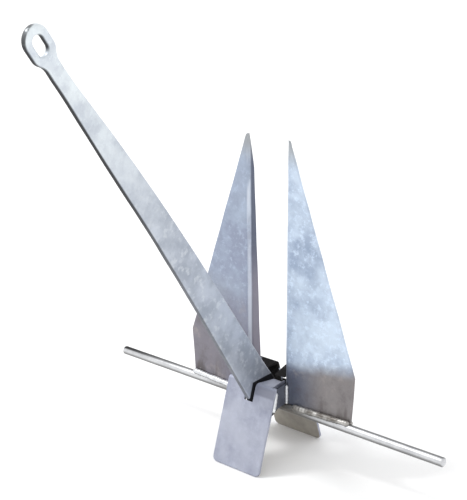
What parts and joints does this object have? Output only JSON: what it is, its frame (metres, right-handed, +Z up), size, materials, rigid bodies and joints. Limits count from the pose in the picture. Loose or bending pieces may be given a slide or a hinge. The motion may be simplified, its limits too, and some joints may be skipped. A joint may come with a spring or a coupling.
{
  "type": "boat anchor",
  "caption": "Galvanised pivoting fluke anchor: flat pointed flukes on a round stock, slotted palms, and a tapered flat shank with an eye that swings on the stock.",
  "frame": {"origin": "on the floor under the middle of the anchor's bounding box, standing on the feet of its two palms", "axes": "+X along the stock, +Y from the leaning shank's side towards the rear, +Z up along the flukes"},
  "size_m": [0.58, 0.4852, 0.6615],
  "materials": {
    "stock_zinc": "hot-dip galvanised bar, satin",
    "fluke_zinc": "hot-dip galvanised plate, pale blue-grey spangle",
    "crown_zinc": "hot-dip galvanised plate, dull",
    "weld_zinc": "bright galvanised weld bead",
    "shank_zinc": "hot-dip galvanised flat bar, mottled"
  },
  "bodies": {
    "crown": {"stock": "stock_zinc", "fluke_right": "fluke_zinc", "fluke_left": "fluke_zinc", "palm_front": "crown_zinc", "palm_rear": "crown_zinc", "web_front_right": "crown_zinc", "web_front_left": "crown_zinc", "web_rear_right": "crown_zinc", "web_rear_left": "crown_zinc", "weld_stock_front_right": "weld_zinc", "weld_stock_front_left": "weld_zinc", "weld_stock_rear_right": "weld_zinc", "weld_stock_rear_left": "weld_zinc", "weld_fluke_front_right": "weld_zinc", "weld_fluke_front_left": "weld_zinc", "weld_fluke_rear_right": "weld_zinc", "weld_fluke_rear_left": "weld_zinc", "weld_palm_front_right": "weld_zinc", "weld_palm_front_left": "weld_zinc", "weld_palm_rear_right": "weld_zinc", "weld_palm_rear_left": "weld_zinc", "weld_shoulder_front_right": "weld_zinc", "weld_shoulder_front_left": "weld_zinc", "weld_shoulder_rear_right": "weld_zinc", "weld_shoulder_rear_left": "weld_zinc"},
    "shank": {"shank": "shank_zinc"}
  },
  "joints": [
    {"name": "shank_swing", "type": "hinge", "parent": "crown", "child": "shank", "pos_m": [0, 0.16611, 0.07891], "axis": [1, 0, 0], "range_deg": [-68.8, 0]}
  ]
}
